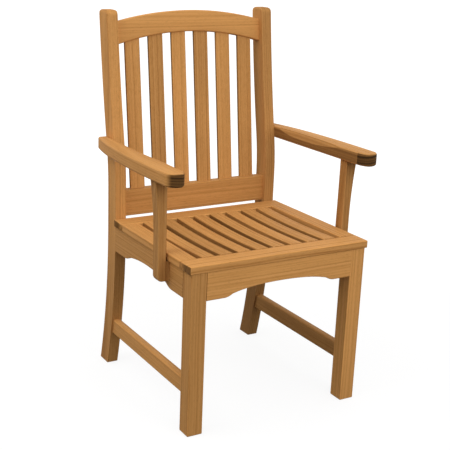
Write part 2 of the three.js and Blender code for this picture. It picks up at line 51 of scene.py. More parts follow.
camera_place = Vector((-1.274247, -2.081577, 1.165156))
camera_target = Vector((0.439971, 1.140039, 0.044842))
camera_roll = 0.0227384
camera_data = bpy.data.cameras.new("camera")
camera_data.sensor_width = 36
camera_data.lens = 76.588
camera_data.shift_x = 0.11924
camera_data.shift_y = 0.01367
camera_data.clip_end = 200
camera = bpy.data.objects.new("camera", camera_data)
bpy.context.scene.collection.objects.link(camera)
ahead = (camera_target - camera_place).normalized()
level = ahead.cross(Vector((0, 0, 1))).normalized()
upright = level.cross(ahead)
sideways = level * math.cos(camera_roll) + upright * math.sin(camera_roll)
upwards = upright * math.cos(camera_roll) - level * math.sin(camera_roll)
camera.matrix_world = Matrix(
    [[sideways[i], upwards[i], -ahead[i], camera_place[i]] for i in range(3)] + [[0, 0, 0, 1]]
)
bpy.context.scene.camera = camera
bpy.context.scene.view_settings.view_transform = "Standard"


def add_node(tree, kind, inputs=None, **settings):
    """A new node; an input is given a value or joined to another node's output."""
    made = tree.nodes.new(kind)
    for name, value in settings.items():
        setattr(made, name, value)
    for socket, value in (inputs or {}).items():
        if isinstance(value, bpy.types.NodeSocket):
            tree.links.new(value, made.inputs[socket])
        else:
            made.inputs[socket].default_value = value
    return made


def number(tree, operation, *values):
    """The result of a calculation with numbers."""
    return add_node(tree, "ShaderNodeMath", dict(enumerate(values)), operation=operation).outputs[0]


def vector(tree, operation, *values):
    """The result of a calculation with vectors."""
    made = add_node(tree, "ShaderNodeVectorMath", operation=operation)
    sockets = [socket for socket in made.inputs if socket.enabled]
    for socket, value in zip(sockets, values):
        if isinstance(value, bpy.types.NodeSocket):
            tree.links.new(value, socket)
        else:
            socket.default_value = value
    return next(socket for socket in made.outputs if socket.enabled)


def stepped(tree, value, start, end, low=0.0, high=1.0, kind="SMOOTHSTEP"):
    """Goes from low to high while the value goes from start to end, and stays level outside."""
    limits = {"Value": value, "From Min": start, "From Max": end, "To Min": low, "To Max": high}
    return add_node(tree, "ShaderNodeMapRange", limits, interpolation_type=kind).outputs[0]


def seen_by_eye(tree):
    """1 where a ray comes from the camera, a mirror or a glass, and 0 for the light on the chair."""
    path = add_node(tree, "ShaderNodeLightPath")
    mirrored = number(tree, "MAXIMUM", path.outputs["Is Camera Ray"], path.outputs["Is Glossy Ray"])
    return number(tree, "MAXIMUM", mirrored, path.outputs["Is Transmission Ray"])


plain_white = (1, 1, 1, 1)
surround_strength = 0.84
world = bpy.data.worlds.new("studio")
world.use_nodes = True
air = world.node_tree
air.nodes.clear()
backdrop = add_node(air, "ShaderNodeBackground", {"Color": plain_white, "Strength": 1.0})
surround = add_node(air, "ShaderNodeBackground", {"Color": plain_white, "Strength": surround_strength})
sky_sides = {0: seen_by_eye(air), 1: surround.outputs[0], 2: backdrop.outputs[0]}
sky = add_node(air, "ShaderNodeMixShader", sky_sides)
add_node(air, "ShaderNodeOutputWorld", {"Surface": sky.outputs[0]})
bpy.context.scene.world = world

floor_half = 25.0
floor_glow = 0.86  # the share of the floor's white that a shadow leaves
floor_spare_glow = 0.02  # keeps the far floor a full white
floor_grey = (0.16, 0.16, 0.16, 1)  # what the floor gives back to the eye
bounce_grey = (0.05, 0.05, 0.05, 1)  # and to the chair
shadow_reach = (0.9, 2.2)  # the shadow fades out between these distances from the chair
floor_mesh = bpy.data.meshes.new("floor")
floor_corners = [(-1, -1), (1, -1), (1, 1), (-1, 1)]
floor_places = [(x * floor_half, y * floor_half, 0) for x, y in floor_corners]
floor_mesh.from_pydata(floor_places, [], [(0, 1, 2, 3)])
floor = bpy.data.objects.new("floor", floor_mesh)
bpy.context.scene.collection.objects.link(floor)
pale_floor = bpy.data.materials.new("pale_floor")
pale_floor.use_nodes = True
ground = pale_floor.node_tree
ground.nodes.clear()
ground_place = add_node(ground, "ShaderNodeTexCoord").outputs["Object"]
fading = stepped(ground, vector(ground, "LENGTH", ground_place), *shadow_reach)
glow = number(ground, "MULTIPLY_ADD", fading, 1.0 - floor_glow + floor_spare_glow, floor_glow)
white = add_node(ground, "ShaderNodeEmission", {"Color": plain_white, "Strength": glow})
matt = add_node(ground, "ShaderNodeBsdfDiffuse", {"Color": floor_grey})
shown = add_node(ground, "ShaderNodeAddShader", {0: white.outputs[0], 1: matt.outputs[0]})
bouncing = add_node(ground, "ShaderNodeBsdfDiffuse", {"Color": bounce_grey})
floor_sides = {0: seen_by_eye(ground), 1: bouncing.outputs[0], 2: shown.outputs[0]}
either = add_node(ground, "ShaderNodeMixShader", floor_sides)
add_node(ground, "ShaderNodeOutputMaterial", {"Surface": either.outputs[0]})
floor_mesh.materials.append(pale_floor)


def soft_lamp(name, place, power, size):
    """A round lamp that faces the middle of the chair."""
    lamp_data = bpy.data.lights.new(name, "AREA")
    lamp_data.shape = "DISK"
    lamp_data.size = size
    lamp_data.energy = power
    lamp = bpy.data.objects.new(name, lamp_data)
    bpy.context.scene.collection.objects.link(lamp)
    lamp.location = place
    lamp.rotation_mode = "QUATERNION"
    lamp.rotation_quaternion = (Vector((0, 0, 0.5)) - place).to_track_quat("-Z", "Y")


soft_lamp("front_lamp", Vector((0.3, -2.8, 2.0)), power=27, size=2.2)
soft_lamp("high_lamp", Vector((-1.6, 0.0, 2.1)), power=12, size=1.2)

# ---------------------------------------------------------------------------------------------
# The front legs. Two straight square legs of solid teak, 42 mm each way, their grain upright and
# their arrises eased with a plane. The aprons are tenoned into them, flush outside, and each one
# ends in a stub let into the seat boards.


def scaled(tree, direction, factor):
    """A vector made longer or shorter."""
    made = add_node(tree, "ShaderNodeVectorMath", {0: direction, 3: factor}, operation="SCALE")
    return made.outputs[0]


def mixed(tree, share, first, second):
    """A number between the first and the second, as the share says."""
    made = add_node(tree, "ShaderNodeMix", {0: share, 2: first, 3: second}, data_type="FLOAT")
    return made.outputs[0]


def teak_grain():
    """Golden teak cut from a log: growth rings round the log's heart, wandering a little on their
    way along it, fine fibres and open pores, darker on end grain and on sides given painted shade,
    and paler on arrises, partly worn and partly a painted highlight."""
    tree = bpy.data.node_groups.new("teak_grain", "ShaderNodeTree")
    for name, kind in [
        ("Place", "NodeSocketVector"),
        ("Facing", "NodeSocketVector"),
        ("Along", "NodeSocketVector"),
        ("Heart", "NodeSocketVector"),
        ("Waver", "NodeSocketFloat"),
        ("Board", "NodeSocketFloat"),
        ("Tone", "NodeSocketFloat"),
        ("End Tone", "NodeSocketFloat"),
        ("Late Wood", "NodeSocketFloat"),
        ("Soak And Shade", "NodeSocketFloat"),
        ("Figure", "NodeSocketFloat"),
    ]:
        tree.interface.new_socket(name, in_out="INPUT", socket_type=kind)
    for name, kind in [
        ("Color", "NodeSocketColor"),
        ("Roughness", "NodeSocketFloat"),
        ("Height", "NodeSocketFloat"),
    ]:
        tree.interface.new_socket(name, in_out="OUTPUT", socket_type=kind)
    given = add_node(tree, "NodeGroupInput").outputs
    board = given["Board"]

    lengthwise = vector(tree, "DOT_PRODUCT", given["Place"], given["Along"])
    on_axis = scaled(tree, given["Along"], lengthwise)
    crosswise = vector(tree, "SUBTRACT", given["Place"], on_axis)

    def speckle(across, along, offset, detail, roughness=0.5):
        """Noise drawn out along the grain: so many specks a metre across it and along it."""
        drawn_out = vector(tree, "ADD", scaled(tree, crosswise, across), scaled(tree, on_axis, along))
        board_step = 3.17  # how far apart two boards lie in the noise
        settings = {
            "Vector": drawn_out,
            "W": number(tree, "MULTIPLY_ADD", board, board_step, offset),
            "Scale": 1.0,
            "Detail": detail,
            "Roughness": roughness,
        }
        return add_node(tree, "ShaderNodeTexNoise", settings, noise_dimensions="4D")

    # The rings follow the distance from the heart of the log, which lies beside the board
    ring_steps = 190.0  # a metre
    ring_board_step = 7.7
    noise_middle = (0.5, 0.5, 0.5)
    drift = speckle(across=7, along=1.8, offset=0.0, detail=1.0).outputs["Color"]
    wandered = scaled(tree, vector(tree, "SUBTRACT", drift, noise_middle), given["Waver"])
    ringwise = vector(tree, "ADD", vector(tree, "SUBTRACT", crosswise, given["Heart"]), wandered)
    ring_span = number(tree, "MULTIPLY", vector(tree, "LENGTH", ringwise), ring_steps)
    ring_place = number(tree, "MULTIPLY_ADD", board, ring_board_step, ring_span)
    ring_settings = {"W": ring_place, "Scale": 1.0, "Detail": 3.0, "Roughness": 0.62}
    rings = add_node(tree, "ShaderNodeTexNoise", ring_settings, noise_dimensions="1D").outputs[0]
    fibres = speckle(across=620, along=9, offset=4.0, detail=2.0, roughness=0.6).outputs[0]
    fine = speckle(across=1700, along=30, offset=8.0, detail=1.0).outputs[0]
    cloud = speckle(across=14, along=3.2, offset=12.0, detail=2.0).outputs[0]
    pore_specks = speckle(across=1500, along=90, offset=16.0, detail=0.0).outputs[0]
    pores = stepped(tree, pore_specks, 0.66, 0.74)

    # The three patterns make one figure round its middle; each board says how strong it is
    rings_share, fibres_share, fine_share = 0.52, 0.30, 0.18
    figure = number(tree, "MULTIPLY", rings, rings_share)
    figure = number(tree, "ADD", figure, number(tree, "MULTIPLY", fibres, fibres_share))
    figure = number(tree, "ADD", figure, number(tree, "MULTIPLY", fine, fine_share))
    figure = number(tree, "MULTIPLY_ADD", number(tree, "SUBTRACT", figure, 0.5), given["Figure"], 0.5)
    wood_colours = [
        (0.28, (0.36, 0.150, 0.038, 1)),
        (0.42, (0.52, 0.240, 0.068, 1)),
        (0.52, (0.60, 0.292, 0.089, 1)),
        (0.72, (0.68, 0.343, 0.113, 1)),
    ]
    ramp = add_node(tree, "ShaderNodeValToRGB")
    stops = ramp.color_ramp.elements
    stops[0].position, stops[0].color = wood_colours[0]
    stops[1].position, stops[1].color = wood_colours[-1]
    for place, colour in wood_colours[1:-1]:
        stops.new(place).color = colour

    cloud_contrast = 0.30
    pore_shade = -0.22
    arris_wear_and_highlight = 0.10
    clouded = number(tree, "MULTIPLY_ADD", number(tree, "SUBTRACT", cloud, 0.5), cloud_contrast, 1.0)
    pored = number(tree, "MULTIPLY_ADD", pores, pore_shade, 1.0)
    toned = number(tree, "MULTIPLY", number(tree, "MULTIPLY", clouded, pored), given["Tone"])
    # Arrises are painted a little paler: partly wear on the eased edges, partly a painted highlight.
    arris = add_node(tree, "ShaderNodeAttribute", attribute_name="arris").outputs["Fac"]
    toned = number(tree, "MULTIPLY", toned, number(tree, "MULTIPLY_ADD", arris, arris_wear_and_highlight, 1.0))

    # End grain drinks more oil, so it is darker and more even, most of all in its late wood. Soak And
    # Shade adds more darkening of the same kind: oil-soaked spots, and painted shade on shaded sides.
    evening_share = 0.8
    end_figure = 0.42
    squarely = number(tree, "ABSOLUTE", vector(tree, "DOT_PRODUCT", given["Facing"], given["Along"]))
    end = number(tree, "MAXIMUM", stepped(tree, squarely, 0.45, 0.85), given["Soak And Shade"])
    evened = mixed(tree, number(tree, "MULTIPLY", end, evening_share), figure, end_figure)
    tree.links.new(evened, ramp.inputs["Fac"])
    late = number(tree, "MULTIPLY_ADD", number(tree, "SUBTRACT", rings, 0.5), given["Late Wood"], 1.0)
    shade = mixed(tree, end, 1.0, number(tree, "MULTIPLY", given["End Tone"], late))
    colour = scaled(tree, ramp.outputs[0], number(tree, "MULTIPLY", toned, shade))

    plain_roughness, figure_sheen, end_roughness = 0.68, -0.16, 0.12
    fibre_height, pore_depth = 0.6, 0.5
    rough = number(tree, "MULTIPLY_ADD", figure, figure_sheen, plain_roughness)
    rough = number(tree, "ADD", rough, number(tree, "MULTIPLY", end, end_roughness))
    raised = number(tree, "MULTIPLY", fibres, fibre_height)
    height = number(tree, "SUBTRACT", raised, number(tree, "MULTIPLY", pores, pore_depth))
    add_node(tree, "NodeGroupOutput", {"Color": colour, "Roughness": rough, "Height": height})
    return tree


teak_figure = teak_grain()
upright_grain = (0, 0, 1)


def teak_finish(
    name, along, heart, board, tone=1.0, end_tone=0.5, figure=1.0, waver=0.012, late=1.2, soak_and_shade=None
):
    """An oiled teak finish. Along is the way the grain runs, heart is where the log's middle lies and
    board picks the plank; board and tone may come from an attribute of the piece instead, and tone
    from a function. Soak_and_shade works out, from a place and the way its surface faces, how far
    the surface is darkened: by oil soaked into end grain, and by painted shade on shaded sides."""
    finish = bpy.data.materials.new(name)
    finish.use_nodes = True
    tree = finish.node_tree
    shader = tree.nodes["Principled BSDF"]
    place = add_node(tree, "ShaderNodeTexCoord")
    grain = add_node(tree, "ShaderNodeGroup", node_tree=teak_figure)
    tree.links.new(place.outputs["Object"], grain.inputs["Place"])
    tree.links.new(place.outputs["Normal"], grain.inputs["Facing"])
    grain.inputs["Along"].default_value = along
    grain.inputs["Heart"].default_value = heart
    grain.inputs["Waver"].default_value = waver
    grain.inputs["Late Wood"].default_value = late
    grain.inputs["End Tone"].default_value = end_tone
    grain.inputs["Figure"].default_value = figure
    for socket, value in [("Board", board), ("Tone", tone)]:
        if isinstance(value, str):
            read = add_node(tree, "ShaderNodeAttribute", attribute_name=value)
            tree.links.new(read.outputs["Fac"], grain.inputs[socket])
        elif callable(value):
            tree.links.new(value(tree, place.outputs["Object"]), grain.inputs[socket])
        else:
            grain.inputs[socket].default_value = value
    if soak_and_shade:
        darkened = soak_and_shade(tree, place.outputs["Object"], place.outputs["Normal"])
        tree.links.new(darkened, grain.inputs["Soak And Shade"])
    relief = {"Height": grain.outputs["Height"], "Strength": 0.35, "Distance": 0.0006}
    bump = add_node(tree, "ShaderNodeBump", relief)
    tree.links.new(grain.outputs["Color"], shader.inputs["Base Color"])
    tree.links.new(grain.outputs["Roughness"], shader.inputs["Roughness"])
    tree.links.new(bump.outputs[0], shader.inputs["Normal"])
    shader.inputs["Specular IOR Level"].default_value = 0.09
    return finish


surface_trees = {}


def meets_another(point, node, passed_over, reach=0.0007):
    """Whether a point on one node lies against any other that isn't passed over."""
    for other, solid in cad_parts.items():
        if other == node or other.startswith(passed_over):
            continue
        if other not in surface_trees:
            form = bmesh.new()
            form.from_mesh(solid.data)
            surface_trees[other] = (BVHTree.FromBMesh(form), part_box(other))
            form.free()
        nearby, (low, high) = surface_trees[other]
        if any(point[i] < low[i] - reach or point[i] > high[i] + reach for i in range(3)):
            continue
        if nearby.find_nearest(point, reach)[0] is not None:
            return True
    return False


def eased_piece(node, finish, slot, easing, steps=3, passed_over=(), crease=35):
    """The piece as the joiner makes it: a CAD node's shape with each free arris eased, and the
    edges that close a joint left crisp, unless they only join a piece that is passed over."""
    same_place = 1e-6
    flat_angle = math.radians(0.1)
    tried_shares = (0.08, 0.3, 0.5, 0.7, 0.92)  # where along an edge a neighbour is looked for
    form = bmesh.new()
    form.from_mesh(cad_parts[node].data)
    bmesh.ops.remove_doubles(form, verts=form.verts, dist=same_place)
    bmesh.ops.dissolve_limit(form, angle_limit=flat_angle, verts=form.verts, edges=form.edges)
    weights = form.edges.layers.float.new("bevel_weight_edge")
    for edge in form.edges:
        if len(edge.link_faces) != 2:
            continue
        turned = edge.calc_face_angle_signed()
        if abs(turned) < math.radians(crease):
            continue
        start, end = (corner.co for corner in edge.verts)
        touching = [meets_another(start.lerp(end, share), node, passed_over) for share in tried_shares]
        if turned > 0 and sum(touching) < len(tried_shares) / 2:
            edge[weights] = 1.0
        else:
            edge.smooth = False
    for face in form.faces:
        face.smooth = True
    mesh = bpy.data.meshes.new(node + "_eased")
    form.to_mesh(mesh)
    form.free()
    piece = bpy.data.objects.new(node + "_eased", mesh)
    bpy.context.scene.collection.objects.link(piece)
    mesh.materials.append(finish)
    mesh.materials.append(finish)
    bevel = piece.modifiers.new("easing", "BEVEL")
    bevel.limit_method = "WEIGHT"
    bevel.width = easing
    bevel.segments = steps
    bevel.use_clamp_overlap = True
    bevel.material = 1
    weighted = piece.modifiers.new("shading", "WEIGHTED_NORMAL")
    weighted.keep_sharp = True
    finish_piece(piece, slot, node)


def finish_piece(piece, slot, *nodes):
    """Makes the modifiers' result the piece's own mesh, with its one finish, and fits it to the
    frame in place of its nodes."""
    depsgraph = bpy.context.evaluated_depsgraph_get()
    made = bpy.data.meshes.new_from_object(
        piece.evaluated_get(depsgraph), preserve_all_data_layers=True, depsgraph=depsgraph
    )
    piece.modifiers.clear()
    piece.data = made
    finish = next(material for material in made.materials if material)
    if made.materials[0]:
        arris = made.attributes.new("arris", "FLOAT", "FACE")
        arris.data.foreach_set("value", [float(face.material_index) for face in made.polygons])
    for face in made.polygons:
        face.material_index = 0
    made.materials.clear()
    made.materials.append(finish)
    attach(piece, "root")
    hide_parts(*nodes)


for side, heart, board, tone in [
    ("left", (-0.32, -0.30, 0.0), 1.0, 0.90),
    ("right", (0.12, -0.36, 0.0), 2.0, 1.08),
]:
    leg_teak = teak_finish(
        "teak_front_leg_" + side, upright_grain, heart, board, tone, figure=0.9, waver=0.02
    )
    eased_piece("front_leg_" + side, leg_teak, "teak", easing=0.0025)

# ---------------------------------------------------------------------------------------------
# The rear posts. Two long posts of teak, 31 by 48 mm, sawn to shape from a plank: raked at the
# foot, upright behind the seat and leaning back above it, with softly rounded tops.


def shaded_under_seat(below, above):
    """A plank painted darker under the seat, as painted shade from the seat above it: its tone under the
    seat and its tone above it.
    """

    def tone_at(tree, place):
        height = add_node(tree, "ShaderNodeSeparateXYZ", {0: place}).outputs[2]
        return stepped(tree, height, 0.25, 0.50, below, above)

    return tone_at


# The posts' lower tones are painted shade under the seat, not a change in the wood.
for side, heart, board, below, above in [
    ("left", (-0.42, 0.24, 0.0), 3.0, 0.86, 1.06),
    ("right", (0.42, 0.22, 0.0), 4.0, 0.55, 0.87),
]:
    post_teak = teak_finish(
        "teak_post_" + side, upright_grain, heart, board, shaded_under_seat(below, above), 0.95, figure=1.1
    )
    eased_piece("rear_post_" + side, post_teak, "teak", easing=0.0025, passed_over=("arm_",))

# ---------------------------------------------------------------------------------------------
# The aprons and stretchers. Four teak boards, 20 mm thick, join the legs under the seat; three
# are cut to a shallow arch below. Two plain stretchers tie each front leg to its post. All are
# tenoned and glued.

sideways_grain = (1, 0, 0)
deep_grain = (0, 1, 0)
for node, along, heart, board, tone, figure in [
    ("front_apron", sideways_grain, (0.0, -0.33, 0.22), 5.0, 1.17, 0.9),
    ("rear_apron", sideways_grain, (0.0, 0.33, 0.22), 6.0, 1.0, 1.0),
    ("side_apron_left", deep_grain, (-0.33, 0.0, 0.26), 7.0, 0.94, 1.0),
    ("side_apron_right", deep_grain, (0.33, 0.0, 0.26), 8.0, 0.9, 1.0),
]:
    apron_teak = teak_finish("teak_" + node, along, heart, board, tone, figure=figure)
    eased_piece(node, apron_teak, "teak", easing=0.0025)

for side, heart, board, tone in [
    ("left", (-0.33, 0.0, 0.02), 9.0, 1.0),
    ("right", (0.33, 0.0, 0.02), 10.0, 0.77),
]:
    stretcher_teak = teak_finish("teak_stretcher_" + side, deep_grain, heart, board, tone)
    eased_piece("side_stretcher_" + side, stretcher_teak, "teak", easing=0.0045)

# ---------------------------------------------------------------------------------------------
# The lower back rail. A straight teak rail just clear of the seat, 71 mm high, tenoned between
# the posts, with sockets along its top for the six back slats.

rail_teak = teak_finish("teak_lower_rail", sideways_grain, (0.0, 0.05, 0.33), 11.0, 0.93)
eased_piece("lower_back_rail", rail_teak, "teak", easing=0.003)

# ---------------------------------------------------------------------------------------------
# The crest rail. One teak board cut to a bow, 24 mm thick, leaning back with the posts and
# tenoned between them. Its long arrises are rounded over.

seat_front_edge = -0.26542868  # where the seat's front edge lies in the frame
posts_upright_front = 0.426 + seat_front_edge
bend_start, bend_end = 0.520, 0.629  # heights between which the posts bend back
bend_rise = 0.109
steepest_lean = 0.185  # run back per rise
lean_lost = 0.08  # how much less the posts lean at their top
post_upper_rise = 0.354


def post_front_at(height):
    """Where the posts' front faces are, in metres, above the seat."""
    bent = min(max(height - bend_start, 0.0), bend_rise)
    above = max(height - bend_end, 0.0)
    gone_in_bend = steepest_lean * bent**2 / (2 * bend_rise)
    gone_above = steepest_lean * above - lean_lost * above**2 / (2 * post_upper_rise)
    return posts_upright_front + gone_in_bend + gone_above


def new_form(name, sizes):
    """An empty Geometry Nodes tree with named inputs, and the sockets of those inputs."""
    tree = bpy.data.node_groups.new(name, "GeometryNodeTree")
    for label, kind in sizes:
        tree.interface.new_socket(label, in_out="INPUT", socket_type="NodeSocket" + kind)
    tree.interface.new_socket("Geometry", in_out="OUTPUT", socket_type="NodeSocketGeometry")
    return tree, add_node(tree, "NodeGroupInput").outputs


def combined(tree, x=0.0, y=0.0, z=0.0):
    """A vector put together from its three parts."""
    return add_node(tree, "ShaderNodeCombineXYZ", {0: x, 1: y, 2: z}).outputs[0]


def own_places(tree):
    """The three parts of each corner's place."""
    position = add_node(tree, "GeometryNodeInputPosition").outputs[0]
    return add_node(tree, "ShaderNodeSeparateXYZ", {0: position}).outputs


def transformed(tree, shape, moves):
    """A shape moved and turned as a whole."""
    return add_node(tree, "GeometryNodeTransform", {"Geometry": shape, **moves}).outputs[0]


def leaned_back(tree, lean):
    """The turn that leans a shape back."""
    return combined(tree, x=number(tree, "MULTIPLY", lean, -1.0))


def bent_form(tree, shape, offset):
    """A shape with each corner moved by its own offset."""
    return add_node(tree, "GeometryNodeSetPosition", {"Geometry": shape, "Offset": offset}).outputs[0]


def rounded_bar(tree, width, thickness, length_vector, arris, steps):
    """A straight bar swept from the origin, its four long arrises rounded over."""
    sides = {"Width": width, "Height": thickness}
    outline = add_node(tree, "GeometryNodeCurvePrimitiveQuadrilateral", sides).outputs[0]
    rounding = {"Curve": outline, "Count": 4, "Radius": arris}
    rounded = add_node(tree, "GeometryNodeFilletCurve", rounding, mode="POLY").outputs[0]
    line = add_node(tree, "GeometryNodeCurvePrimitiveLine", {"End": length_vector}).outputs[0]
    parted = add_node(tree, "GeometryNodeResampleCurve", {"Curve": line, "Count": steps}).outputs[0]
    sweep = {"Curve": parted, "Profile Curve": rounded, "Fill Caps": True}
    return add_node(tree, "GeometryNodeCurveToMesh", sweep).outputs[0]


def end_form(tree, shape, finish):
    """Real geometry, smoothly shaded and finished, at the tree's end."""
    real = add_node(tree, "GeometryNodeRealizeInstances", {"Geometry": shape})
    smooth = add_node(tree, "GeometryNodeSetShadeSmooth", {"Geometry": real.outputs[0]})
    dressing = {"Geometry": smooth.outputs[0], "Material": finish}
    dressed = add_node(tree, "GeometryNodeSetMaterial", dressing)
    add_node(tree, "NodeGroupOutput", {"Geometry": dressed.outputs[0]})


def grown_piece(name, tree, sizes, slot, *nodes):
    """Runs a tree with its sizes and keeps the result as a plain mesh."""
    crisp_angle = math.radians(50)
    piece = bpy.data.objects.new(name, bpy.data.meshes.new(name))
    bpy.context.scene.collection.objects.link(piece)
    form = piece.modifiers.new("form", "NODES")
    form.node_group = tree
    for item in tree.interface.items_tree:
        if item.in_out == "INPUT" and item.name in sizes:
            form[item.identifier] = sizes[item.name]
    finish_piece(piece, slot, *nodes)
    piece.data.set_sharp_from_angle(angle=crisp_angle)
    return piece


crest_half = 0.2205
crest_underside = 0.9228
crest_height = 0.0565
crest_thickness = 0.024
crest_set_back = 0.015  # behind the posts' front faces
crest_gain = post_front_at(crest_underside + crest_height) - post_front_at(crest_underside)
crest_form, size = new_form(
    "crest_form",
    [
        ("Length", "Float"),
        ("Height", "Float"),
        ("Thickness", "Float"),
        ("Arris", "Float"),
        ("Rise Below", "Float"),
        ("Rise Above", "Float"),
        ("Lean", "Float"),
        ("Place", "Vector"),
    ],
)
crest_length = combined(crest_form, x=size["Length"])
plank = rounded_bar(crest_form, size["Thickness"], size["Height"], crest_length, size["Arris"], steps=61)
to_middle = combined(
    crest_form,
    number(crest_form, "MULTIPLY", size["Length"], -0.5),
    number(crest_form, "MULTIPLY", size["Thickness"], 0.5),
    number(crest_form, "MULTIPLY", size["Height"], 0.5),
)
centred = transformed(crest_form, plank, {"Translation": to_middle})
here = own_places(crest_form)
outward = number(crest_form, "DIVIDE", number(crest_form, "MULTIPLY", here[0], 2.0), size["Length"])
share_up = number(crest_form, "DIVIDE", here[2], size["Height"])
rise_gain = number(crest_form, "SUBTRACT", size["Rise Above"], size["Rise Below"])
rise = number(crest_form, "MULTIPLY_ADD", share_up, rise_gain, size["Rise Below"])
squared = number(crest_form, "MULTIPLY", outward, outward)
drop = number(crest_form, "MULTIPLY", squared, number(crest_form, "MULTIPLY", rise, -1.0))
bowed = bent_form(crest_form, centred, combined(crest_form, z=drop))
crest_turn = leaned_back(crest_form, size["Lean"])
leaned = transformed(crest_form, bowed, {"Translation": size["Place"], "Rotation": crest_turn})
end_form(
    crest_form,
    leaned,
    teak_finish("teak_crest", sideways_grain, (0.0, 0.10, 0.80), 12.0, 1.12, figure=0.6),
)
grown_piece(
    "crest_rail_bowed",
    crest_form,
    {
        "Length": 2 * crest_half + 0.002,
        "Height": crest_height,
        "Thickness": crest_thickness,
        "Arris": 0.004,
        "Rise Below": 0.031,
        "Rise Above": 0.0275,
        "Lean": math.atan2(crest_gain, crest_height),
        "Place": (0.0, post_front_at(crest_underside) + crest_set_back, crest_underside),
    },
    "teak",
    "crest_rail",
)

# ---------------------------------------------------------------------------------------------
# The back slats. Six straight slats of teak, 43 by 9 mm, each from its own plank and so of its
# own tone. They stand in sockets in the lower rail and end in sockets in the crest.

slat_count = 6
slat_width = 0.043
slat_gap = (2 * crest_half - slat_count * slat_width) / (slat_count + 1)
lower_rail_front = 0.4365 + seat_front_edge
lower_rail_top = 0.513
slat_behind_rail = 0.0159
slat_behind_crest = 0.0045
first_slat_middle = -crest_half + slat_gap + slat_width / 2
slat_foot = Vector((first_slat_middle, lower_rail_front + slat_behind_rail, lower_rail_top))
slat_head_front = post_front_at(crest_underside) + crest_set_back + slat_behind_crest
slat_lean = math.atan((slat_head_front - slat_foot.y) / (crest_underside - slat_foot.z))
slats_form, size = new_form(
    "upright_slats_form",
    [
        ("Count", "Int"),
        ("Foot", "Vector"),
        ("Pitch", "Float"),
        ("Width", "Float"),
        ("Thickness", "Float"),
        ("Length", "Float"),
        ("Let In", "Float"),
        ("Arris", "Float"),
        ("Lean", "Float"),
    ],
)
slat_reach = combined(slats_form, z=size["Length"])
slat = rounded_bar(slats_form, size["Width"], size["Thickness"], slat_reach, size["Arris"], steps=25)
into_socket = combined(
    slats_form,
    y=number(slats_form, "MULTIPLY", size["Thickness"], 0.5),
    z=number(slats_form, "MULTIPLY", size["Let In"], -1.0),
)
lifted = transformed(slats_form, slat, {"Translation": into_socket})
leaned = transformed(slats_form, lifted, {"Rotation": leaned_back(slats_form, size["Lean"])})


def row_of(tree, piece, count, start, pitch):
    """Copies of a piece side by side along X, each knowing its own number."""
    line = {"Count": count, "Start Location": start, "Offset": combined(tree, x=pitch)}
    row = add_node(tree, "GeometryNodeMeshLine", line).outputs[0]
    copies = {"Points": row, "Instance": piece}
    placed = add_node(tree, "GeometryNodeInstanceOnPoints", copies).outputs[0]
    own_number = add_node(tree, "GeometryNodeInputIndex").outputs[0]
    return add_node(
        tree,
        "GeometryNodeStoreNamedAttribute",
        {"Geometry": placed, "Name": "slat", "Value": own_number},
        data_type="FLOAT",
        domain="INSTANCE",
    ).outputs[0]


def painted_shade_on_slat_sides(tree, place, facing):
    """The slats' side faces, which face left and right: painted darker, as painted shade for the narrow
    gaps between neighbouring slats, where little light gets in.
    """
    across = number(tree, "ABSOLUTE", vector(tree, "DOT_PRODUCT", facing, (1, 0, 0)))
    return stepped(tree, across, 0.72, 0.98)


# The back slats' side faces get painted shade through Soak And Shade; end_tone sets how dark it is.
back_slat_teak = teak_finish(
    "teak_back_slats",
    upright_grain,
    (-0.55, 0.20, 0.0),
    "slat_board",
    "slat_tone",
    end_tone=0.55,
    figure=1.2,
    soak_and_shade=painted_shade_on_slat_sides,
)
end_form(
    slats_form,
    row_of(slats_form, leaned, size["Count"], size["Foot"], size["Pitch"]),
    back_slat_teak,
)


def tone_slats(piece, first_board, tones):
    """Writes each slat's place in the log and its tone from its number in the row."""
    numbers = [round(point.value) for point in piece.data.attributes["slat"].data]
    for name, values in [
        ("slat_board", [first_board + number_in_row for number_in_row in numbers]),
        ("slat_tone", [tones[number_in_row] for number_in_row in numbers]),
    ]:
        piece.data.attributes.new(name, "FLOAT", "POINT").data.foreach_set("value", values)


back_slats = grown_piece(
    "back_slats",
    slats_form,
    {
        "Count": slat_count,
        "Foot": slat_foot,
        "Pitch": slat_width + slat_gap,
        "Width": slat_width,
        "Thickness": 0.009,
        "Length": (crest_underside - slat_foot.z) / math.cos(slat_lean) + 0.008,
        "Let In": 0.006,
        "Arris": 0.0022,
        "Lean": slat_lean,
    },
    "teak_slats",
    *[f"back_slat_{i}" for i in range(1, slat_count + 1)],
)
tone_slats(back_slats, first_board=20.0, tones=[1.04, 0.89, 1.11, 0.95, 1.05, 0.96])

# ---------------------------------------------------------------------------------------------
# The seat boards. Four teak boards, 19.5 mm thick, frame the seat flush with the slats' ends. They
# overhang the aprons a little, and their free arrises are rounded by hand.

for node, finish_name, along, heart, board, looks in [
    (
        "seat_board_front",
        "teak_seat_front",
        sideways_grain,
        (0.0, -0.40, 0.36),
        13.0,
        {"tone": 1.03, "end_tone": 0.34, "figure": 1.3, "late": 0.5},
    ),
    (
        "seat_board_rear",
        "teak_seat_rear",
        sideways_grain,
        (0.0, 0.30, 0.36),
        14.0,
        {"tone": 1.04, "end_tone": 0.34, "late": 0.5},
    ),
    ("seat_board_side_left", "teak_seat_left", deep_grain, (-0.40, 0.0, 0.36), 15.0, {"tone": 1.08}),
    ("seat_board_side_right", "teak_seat_right", deep_grain, (0.40, 0.0, 0.36), 16.0, {"tone": 1.02}),
]:
    eased_piece(node, teak_finish(finish_name, along, heart, board, **looks), "teak", easing=0.0028)

# ---------------------------------------------------------------------------------------------
# The seat slats. Eight teak slats run from front to rear, 15 mm apart, sawn to a shallow dip for
# the sitter. Tongues on their ends hold them in the front and rear boards.

